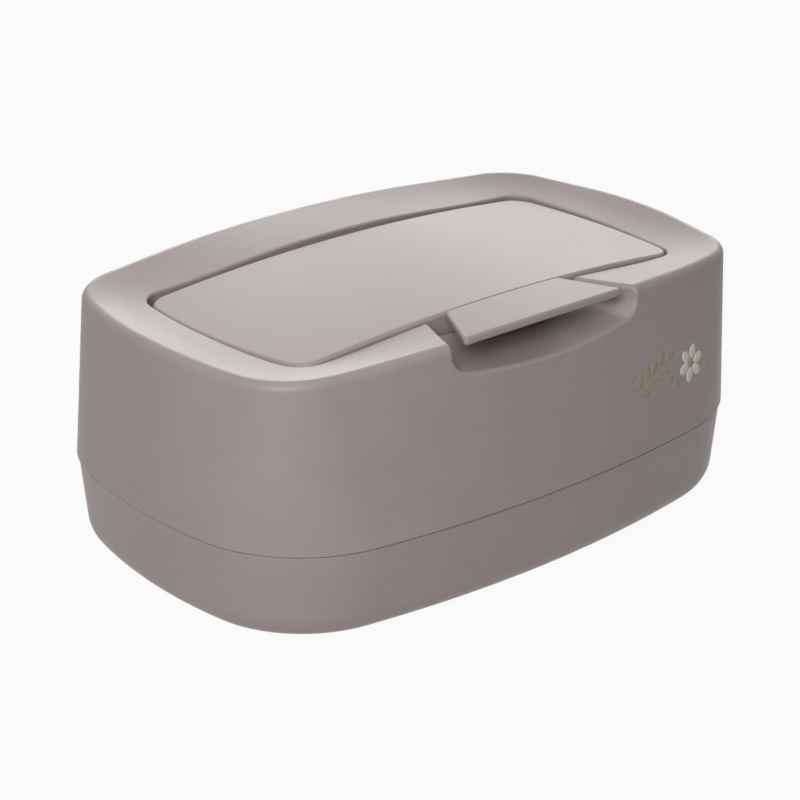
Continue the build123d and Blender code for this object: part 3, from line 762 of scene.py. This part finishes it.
@dataclass
class WallPrint:
    """A small two-colour leaf and blossom print that lies on the front wall.

    It is drawn flat, in millimetres across and up, and laid on the wall from the front.
    """

    wall_node: str = "housing_cover"
    film: float = 0.05 * MM
    rim_sink: float = 0.10 * MM
    ray_start: float = -0.2
    patch_segments: int = 28
    point_power: float = 1.5
    sprig_root: Pair = (39.0, 57.5)
    sprig_length: float = 21.0
    sprig_lean: float = math.radians(24)
    stem_width: float = 0.7
    leaf_pairs: int = 4
    first_leaf: float = 0.14
    leaf_spacing: float = 0.21
    leaf_length: float = 6.4
    leaf_width: float = 3.1
    leaf_point: float = 0.75
    leaf_splay: float = math.radians(52)
    leaf_seat: float = 0.55
    tip_seat: float = 0.35
    blossom_middle: Pair = (72.5, 60.0)
    petal_count: int = 6
    petal_shift: float = 0.25
    petal_length: float = 5.6
    petal_width: float = 4.0
    eye_gap: float = 1.5
    eye_size: float = 2.4
    berry_size: float = 2.7
    berry_places: tuple[Pair, ...] = ((-9.2, -5.6), (-12.6, -2.6), (10.6, -5.0))

    def __post_init__(self) -> None:
        """Reads the wall that the print lies on."""
        mesh = frame["nodes"][self.wall_node].data
        points = [vertex.co.copy() for vertex in mesh.vertices]
        self.wall = BVHTree.FromPolygons(points, [tuple(face.vertices) for face in mesh.polygons])

    def _patch(
        self, form: bmesh.types.BMesh, centre: Vector, length: float, width: float,
        turn: float = 0.0, point: float = 0.0,
    ) -> None:
        """Adds one flat round or leaf-shaped patch in the plane of the print.

        Args:
            form: The bmesh that takes it.
            centre: Its middle.
            length: Its length.
            width: Its width.
            turn: The angle of its length from the across direction.
            point: How much its far end narrows, from 0 for round to 1 for pointed.
        """
        made = bmesh.ops.create_circle(
            form, cap_ends=True, cap_tris=True, segments=self.patch_segments, radius=0.5
        )
        for vertex in made["verts"]:
            vertex.co.y *= 1 - point * max(0.0, 2 * vertex.co.x) ** self.point_power
        place = (
            Matrix.Translation((*centre, 0))
            @ Matrix.Rotation(turn, 4, "Z")
            @ Matrix.Diagonal((length, width, 1, 1))
        )
        bmesh.ops.transform(form, matrix=place, verts=made["verts"])

    def _leaf(self, form: bmesh.types.BMesh, foot: Vector, turn: float, seat: float) -> None:
        """Adds one leaf.

        Args:
            form: The bmesh that takes it.
            foot: The place on the stem that it grows from.
            turn: Its direction.
            seat: How far its middle is from that place, as a share of its length.
        """
        centre = foot + heading(turn) * self.leaf_length * seat
        self._patch(form, centre, self.leaf_length, self.leaf_width, turn, self.leaf_point)

    def _sprig(self, form: bmesh.types.BMesh) -> None:
        """Draws a leaning stem with leaves on both sides and one at its tip.

        Args:
            form: The bmesh that takes it.
        """
        root = Vector(self.sprig_root)
        stem = heading(self.sprig_lean) * self.sprig_length
        self._patch(form, root + stem / 2, self.sprig_length, self.stem_width, self.sprig_lean)
        for pair in range(self.leaf_pairs):
            foot = root + stem * (self.first_leaf + self.leaf_spacing * pair)
            for side in (-1, 1):
                self._leaf(form, foot, self.sprig_lean + side * self.leaf_splay, self.leaf_seat)
        self._leaf(form, root + stem, self.sprig_lean, self.tip_seat)

    def _blossom(self, form: bmesh.types.BMesh) -> None:
        """Draws a ring of petals with a gap for the blossom's eye.

        Args:
            form: The bmesh that takes it.
        """
        reach = self.petal_length / 2 + self.eye_gap
        for index in range(self.petal_count):
            turn = math.tau * (index + self.petal_shift) / self.petal_count
            centre = Vector(self.blossom_middle) + heading(turn) * reach
            self._patch(form, centre, self.petal_length, self.petal_width, turn)

    def _berries(self, form: bmesh.types.BMesh) -> None:
        """Draws the blossom's eye and the loose berries beside it.

        Args:
            form: The bmesh that takes them.
        """
        middle = Vector(self.blossom_middle)
        self._patch(form, middle, self.eye_size, self.eye_size)
        for place in self.berry_places:
            self._patch(form, middle + Vector(place), self.berry_size, self.berry_size)

    def _lay_on_wall(self, form: bmesh.types.BMesh) -> None:
        """Cuts the patches small and lays them on the wall, a film's thickness proud of it.

        Args:
            form: The flat patches.
        """
        bmesh.ops.subdivide_edges(form, edges=form.edges, cuts=1, use_grid_fill=True)
        for vertex in form.verts:
            start = Vector((vertex.co.x * MM, self.ray_start, vertex.co.y * MM))
            hit, normal, _, _ = self.wall.ray_cast(start, Vector((0, 1, 0)))
            vertex.co = hit + normal * self.film
        bmesh.ops.recalc_face_normals(form, faces=form.faces)
        facing = sum((face.normal for face in form.faces), Vector())
        if facing.y > 0:
            bmesh.ops.reverse_faces(form, faces=form.faces)
        rim = [edge for edge in form.edges if edge.is_boundary]
        skirt = bmesh.ops.extrude_edge_only(form, edges=rim)
        bmesh.ops.translate(form, verts=verts_of(skirt["geom"]), vec=(0, self.rim_sink, 0))

    def build(self, finishes: Finishes) -> None:
        """Builds the print's three pieces and fixes them to the cover.

        Args:
            finishes: The materials.
        """
        designs = (
            ("print_sprig", self._sprig, TAN_INK),
            ("print_blossom", self._blossom, CREAM_INK),
            ("print_berries", self._berries, TAN_INK),
        )
        for name, draw, ink in designs:
            form = bmesh.new()
            draw(form)
            self._lay_on_wall(form)
            piece = finished(name, form, finishes.of(ink))
            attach(piece, Body.COVER.value)
            log.info("built %s", name)


@dataclass
class Cover:
    """The tall upper shell, with the hinge and latch metal fixed in it."""

    shell_node: str = "housing_cover"

    def dress(self, finishes: Finishes) -> None:
        """Gives the shell, the pins and the springs their finishes, and prints the wall.

        Args:
            finishes: The materials.
        """
        paint_node(self.shell_node, finishes.of(TAUPE_SHELL))
        for side in ("left", "right"):
            paint_node("hinge_pin_" + side, finishes.of(PIN_STEEL))
            paint_node("lid_spring_" + side, finishes.of(WIRE_STEEL))
        paint_node("button_pin", finishes.of(PIN_STEEL))
        paint_node("button_spring", finishes.of(WIRE_STEEL))
        WallPrint().build(finishes)


@dataclass
class SealRing:
    """The silicone ring under the lid: a firm root in the channel and a rounded lip below it."""

    node: str = "lid_seal"
    width: float = 3.0 * MM
    bend: float = 21.0 * MM
    bend_steps: int = 14
    lip_steps: int = 7
    weld: float = 2 * WELD
    crease: float = math.radians(50)

    def _section(self, low: float, high: float) -> list[Pair]:
        """Draws the ring's section around its middle line.

        Args:
            low: The height of the lip's lowest line.
            high: The height of the root's top.

        Returns:
            The section's points, outward and up.
        """
        half = self.width / 2
        points = [(-half, high), (-half, low + half)]
        for step in range(1, self.lip_steps):
            turn = math.pi * step / self.lip_steps
            points.append((-half * math.cos(turn), low + half * (1 - math.sin(turn))))
        points += [(half, low + half), (half, high)]
        return points

    def _sweep(self, form: bmesh.types.BMesh, low: Vector, high: Vector) -> None:
        """Carries the section round a rectangle with rounded corners.

        Args:
            form: The bmesh that takes the ring.
            low: The low corner of the ring's box.
            high: The high corner of the ring's box.
        """
        middle = (low + high) / 2
        across = (high.x - low.x - self.width) / 2 - self.bend
        deep = (high.y - low.y - self.width) / 2 - self.bend
        start = middle.x + across + self.bend
        section = [
            form.verts.new((start + out, middle.y - deep, up))
            for out, up in self._section(low.z, high.z)
        ]
        moved = [form.edges.new(pair) for pair in zip(section, section[1:] + section[:1])]
        legs = (
            ((0, 2 * deep), (across, deep)),
            ((-2 * across, 0), (-across, deep)),
            ((0, -2 * deep), (-across, -deep)),
            ((2 * across, 0), (across, -deep)),
        )
        for shift, corner in legs:
            made = bmesh.ops.extrude_edge_only(form, edges=edges_of(moved))
            ends = verts_of(made["geom"])
            bmesh.ops.translate(form, verts=ends, vec=(*shift, 0))
            outline = [
                edge for edge in edges_of(made["geom"])
                if all(vertex in ends for vertex in edge.verts)
            ]
            spun = bmesh.ops.spin(
                form, geom=ends + outline, cent=(middle.x + corner[0], middle.y + corner[1], 0),
                axis=(0, 0, 1), angle=math.pi / 2, steps=self.bend_steps, use_merge=False,
                use_duplicate=False,
            )
            moved = spun["geom_last"]

    def build(self, finishes: Finishes) -> bpy.types.Object:
        """Builds the ring in the lid's channel.

        Args:
            finishes: The materials.

        Returns:
            The piece that replaces the node.
        """
        low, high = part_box(self.node)
        form = bmesh.new()
        self._sweep(form, low, high)
        bmesh.ops.remove_doubles(form, verts=form.verts, dist=self.weld)
        bmesh.ops.recalc_face_normals(form, faces=form.faces)
        piece = finished("lid_seal_ring", form, finishes.of(SEAL_SILICONE))
        crisp(piece, self.crease)
        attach(piece, Body.LID.value)
        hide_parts(self.node)
        log.info("built %s", piece.name)
        return piece


@dataclass
class Lid:
    """The crowned panel and the seal under it."""

    panel_node: str = "lid"

    def dress(self, finishes: Finishes) -> None:
        """Gives the panel its finish and hangs the seal ring in its channel."""
        paint_node(self.panel_node, finishes.of(TAUPE_LID))
        SealRing().build(finishes)


@dataclass
class PressTab:
    """The press tab in front of the lid."""

    tab_node: str = "release_button"

    def dress(self, finishes: Finishes) -> None:
        """Gives the tab its finish."""
        paint_node(self.tab_node, finishes.of(TAUPE_LID))


@dataclass
class WeightPlate:
    """The plate that lies on the wipes, with its two steel bars."""

    plate_node: str = "weight_plate"

    def dress(self, finishes: Finishes) -> None:
        """Gives the plate and its bars their finishes.

        Args:
            finishes: The materials.
        """
        paint_node(self.plate_node, finishes.of(PLATE_PLASTIC))
        for side in ("left", "right"):
            paint_node("weight_bar_" + side, finishes.of(BAR_STEEL))


# Studio


def aimed(name: str, data: bpy.types.ID, place: Point, aim: Point) -> bpy.types.Object:
    """Links a lamp or camera that looks at a point.

    Args:
        name: The object's name.
        data: Its lamp or camera.
        place: Where it stands.
        aim: What it looks at.

    Returns:
        The new object.
    """
    holder = bpy.data.objects.new(name, data)
    holder.location = place
    view = Vector(aim) - Vector(place)
    holder.rotation_euler = view.to_track_quat("-Z", "Y").to_euler()
    bpy.context.scene.collection.objects.link(holder)
    return holder


@dataclass(frozen=True)
class SoftBox:
    """A square area lamp that points at the middle of the object."""

    name: str
    place: Point
    width: float
    power: float
    aim: Point = (0.0, 0.0, 0.06)

    def build(self) -> None:
        """Adds the lamp to the scene."""
        lamp = bpy.data.lights.new(self.name, "AREA")
        lamp.size = self.width
        lamp.energy = self.power
        aimed(self.name, lamp, self.place, self.aim)
        log.info("lit %s", self.name)


@dataclass(frozen=True)
class Studio:
    """The floor, the lamps, the pale surroundings and the camera."""

    floor_half: float = 2.5
    floor_cells: int = 8
    surround: float = 0.05
    backdrop: float = 1.0
    camera_place: Point = (-0.48874, -0.57972, 0.37275)
    camera_aim: Point = (-0.00207, 0.00173, 0.04121)
    lens: float = 101.09
    sensor: float = 36.0
    lamps: tuple[SoftBox, ...] = (
        SoftBox("rear_right_lamp", (1.246, 0.873, 0.554), 0.6, 3.65),
        SoftBox("rear_low_lamp", (0.906, 1.295, 0.31), 0.5, 2.71),
        SoftBox("rear_near_lamp", (0.248, 0.681, 0.398), 0.4, 0.72),
        SoftBox("front_lamp", (-0.527, -0.427, 0.484), 0.4, 3.5),
        SoftBox("top_lamp", (0.0, 0.0, 0.86), 0.5, 1.21),
    )

    def _floor(self, finishes: Finishes) -> None:
        """Lays the ground under the object's feet.

        Args:
            finishes: The materials.
        """
        cells = self.floor_cells
        form = bmesh.new()
        bmesh.ops.create_grid(form, x_segments=cells, y_segments=cells, size=self.floor_half)
        ground = finished("studio_floor", form, finishes.of(GROUND))

    def _surroundings(self) -> None:
        """Lights the object evenly from all round, and shows white behind it."""
        world = bpy.data.worlds.new("studio_world")
        world.use_nodes = True
        graph = Graph(world.node_tree)
        ambient = graph.node("Background", None, {"Color": WHITE, "Strength": self.surround})
        white = graph.node("Background", None, {"Color": WHITE, "Strength": self.backdrop})
        mixed = graph.mix(graph.plainly_seen(), ambient, white)
        graph.node("OutputWorld", None, {"Surface": mixed})
        bpy.context.scene.world = world

    def _camera(self) -> None:
        """Sets the camera at the photograph's viewing angle."""
        view = bpy.data.cameras.new("view_camera")
        view.lens = self.lens
        view.sensor_width = self.sensor
        view.sensor_fit = "HORIZONTAL"
        holder = aimed("view_camera", view, self.camera_place, self.camera_aim)
        bpy.context.scene.camera = holder

    def build(self, finishes: Finishes) -> None:
        """Sets up the floor, the light and the camera.

        Args:
            finishes: The materials.
        """
        self._floor(finishes)
        self._surroundings()
        for lamp in self.lamps:
            lamp.build()
        self._camera()
        bpy.context.scene.view_settings.view_transform = "Standard"
        log.info("set up the studio")


def clear_defaults() -> None:
    """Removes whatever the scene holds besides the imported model."""
    kept = set(frame["nodes"].values()) | set(frame["bodies"].values())
    for item in list(bpy.data.objects):
        if item not in kept:
            bpy.data.objects.remove(item)


def main() -> None:
    """Builds and dresses each sub-assembly in order."""
    logging.basicConfig(level=logging.INFO, format="%(levelname)s %(message)s")
    clear_defaults()
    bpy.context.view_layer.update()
    finishes = Finishes()
    Studio().build(finishes)
    for part in (Tray(), Cover(), Lid(), PressTab(), WeightPlate()):
        part.dress(finishes)


if __name__ == "__main__":
    main()
